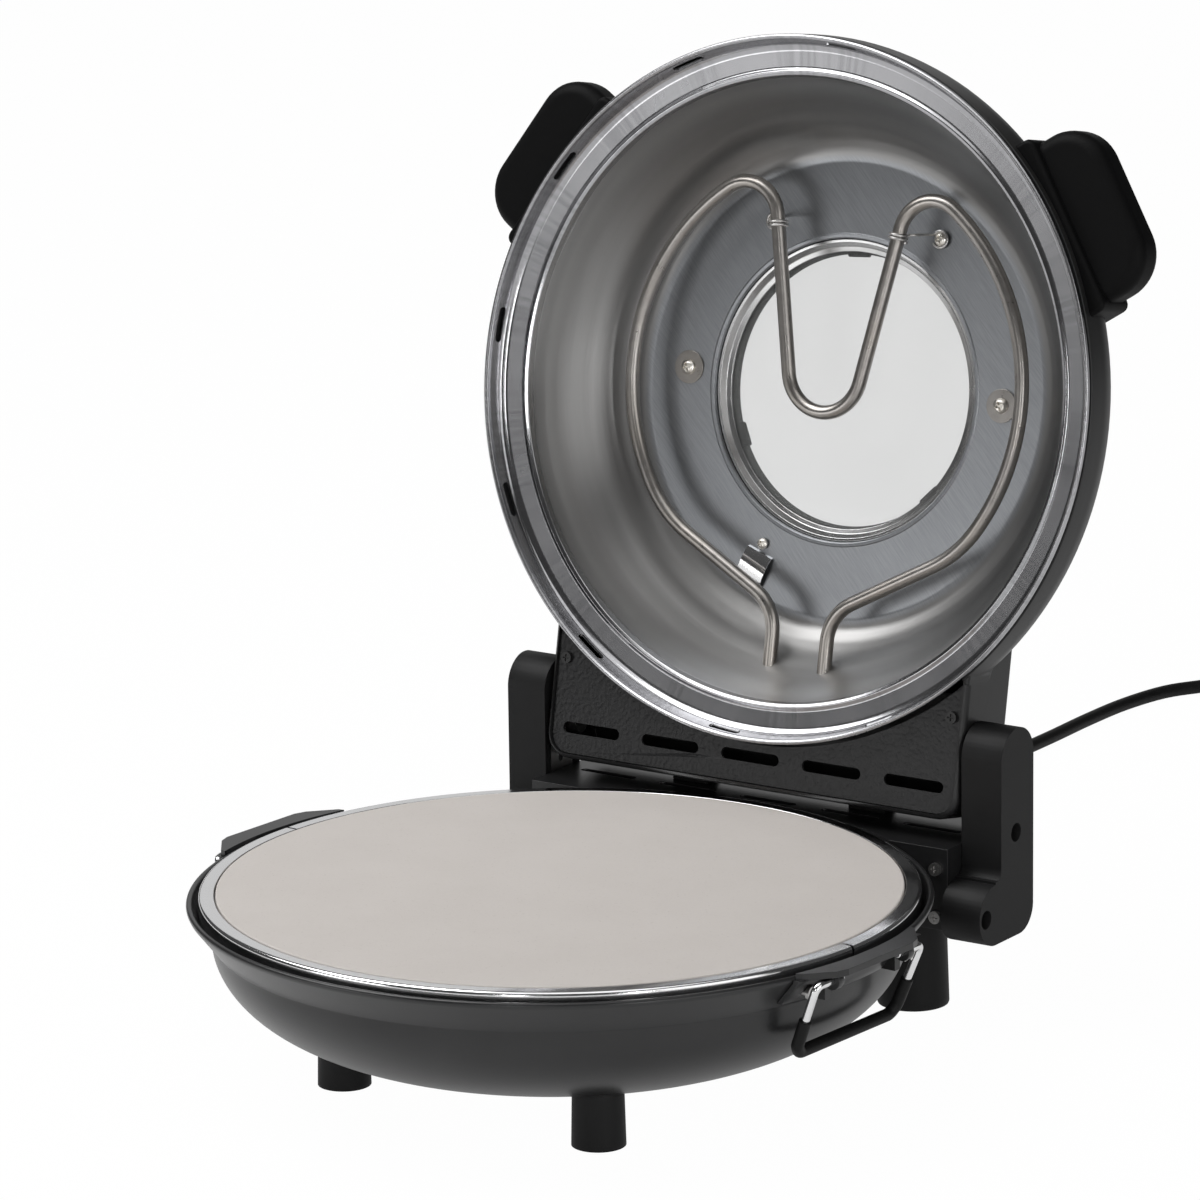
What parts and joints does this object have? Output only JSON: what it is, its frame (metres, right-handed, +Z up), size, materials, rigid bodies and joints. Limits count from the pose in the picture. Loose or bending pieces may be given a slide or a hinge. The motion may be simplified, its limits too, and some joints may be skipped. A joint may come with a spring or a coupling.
{
  "type": "electric pizza maker",
  "caption": "Round countertop pizza maker: a baking stone in a black bowl on feet, a hinged dome lid with a window and heating element, bail handles and a mains cord.",
  "frame": {"origin": "bottom centre of the appliance without its cord, at table level", "axes": "+X along the lid hinge to the right seen from the front, +Y to the back, +Z up; the lid is stored open"},
  "size_m": [0.3584, 0.9853, 0.4485],
  "materials": {
    "black_enamel": "satin",
    "panel_enamel": "textured",
    "polished_sheet": "polished",
    "baking_stone": "matt",
    "heater_tube": "oxidised",
    "bush_ceramic": "matt",
    "plain_steel": "plated",
    "black_screws": "black",
    "control_body": "moulded",
    "black_moulding": "fine grain",
    "cover_moulding": "satin",
    "liner_steel": "spun",
    "window_glass": "clear",
    "lamp_lens": "clear tint",
    "black_rubber": "matt"
  },
  "bodies": {
    "base": {"base_bowl": "black_enamel", "hinge_box": "black_enamel", "hinge_box_plate": "black_enamel", "bracket_left": "black_enamel", "bracket_right": "black_enamel", "stone_pan": "polished_sheet", "pizza_stone": "baking_stone", "lower_element": "heater_tube", "lower_bushes": "bush_ceramic", "terminal_block": "bush_ceramic", "lower_rests": "plain_steel", "foot_screws": "plain_steel", "box_screws": "plain_steel", "hinge_plate_left": "plain_steel", "hinge_plate_right": "plain_steel", "plate_screws": "plain_steel", "hinge_pin_left": "plain_steel", "hinge_pin_right": "plain_steel", "bracket_screws": "plain_steel", "arm_screws": "black_screws", "thermal_cutout": "control_body", "foot_front_left": "black_moulding", "foot_front_right": "black_moulding", "foot_rear_left": "black_moulding", "foot_rear_right": "black_moulding", "arm_left": "black_moulding", "arm_right": "black_moulding", "stop_pads": "black_rubber", "cord_gland": "black_rubber", "cord": "black_rubber", "cord_coil": "black_rubber", "plug": "black_rubber"},
    "lid": {"lid_cover": "cover_moulding", "lid_liner": "liner_steel", "window_ring": "polished_sheet", "window_glass": "window_glass", "window_bezel": "cover_moulding", "upper_element": "heater_tube", "upper_bushes": "bush_ceramic", "element_clamps": "plain_steel", "liner_screws": "plain_steel", "sensor_clip": "polished_sheet", "neck_panel": "panel_enamel", "panel_screws": "black_screws", "grip_left": "black_moulding", "grip_right": "black_moulding", "grip_screws": "black_screws", "thermostat": "control_body", "pilot_lamps": "lamp_lens"},
    "knob_body": {"knob": "black_moulding"},
    "bail_left": {"bail_wire_left": "plain_steel", "bail_sleeve_left": "black_rubber"},
    "bail_right": {"bail_wire_right": "plain_steel", "bail_sleeve_right": "black_rubber"}
  },
  "joints": [
    {"name": "lid_hinge", "type": "hinge", "parent": "base", "child": "lid", "pos_m": [0, 0.1199, 0.1114], "axis": [1, 0, 0], "range_deg": [0, 100.8]},
    {"name": "knob_turn", "type": "hinge", "parent": "lid", "child": "knob_body", "pos_m": [0.09, 0.145, 0.13573], "axis": [0, 0.9823, -0.1874], "range_deg": [0, 270]},
    {"name": "bail_right_swing", "type": "hinge", "parent": "base", "child": "bail_right", "pos_m": [0.17108, -0.06366, 0.0829], "axis": [-0.0698, -0.9976, 0], "range_deg": [-4, 100]},
    {"name": "bail_left_swing", "type": "hinge", "parent": "base", "child": "bail_left", "pos_m": [-0.17108, -0.03974, 0.0829], "axis": [0.0698, 0.9976, 0], "range_deg": [-4, 100]}
  ]
}
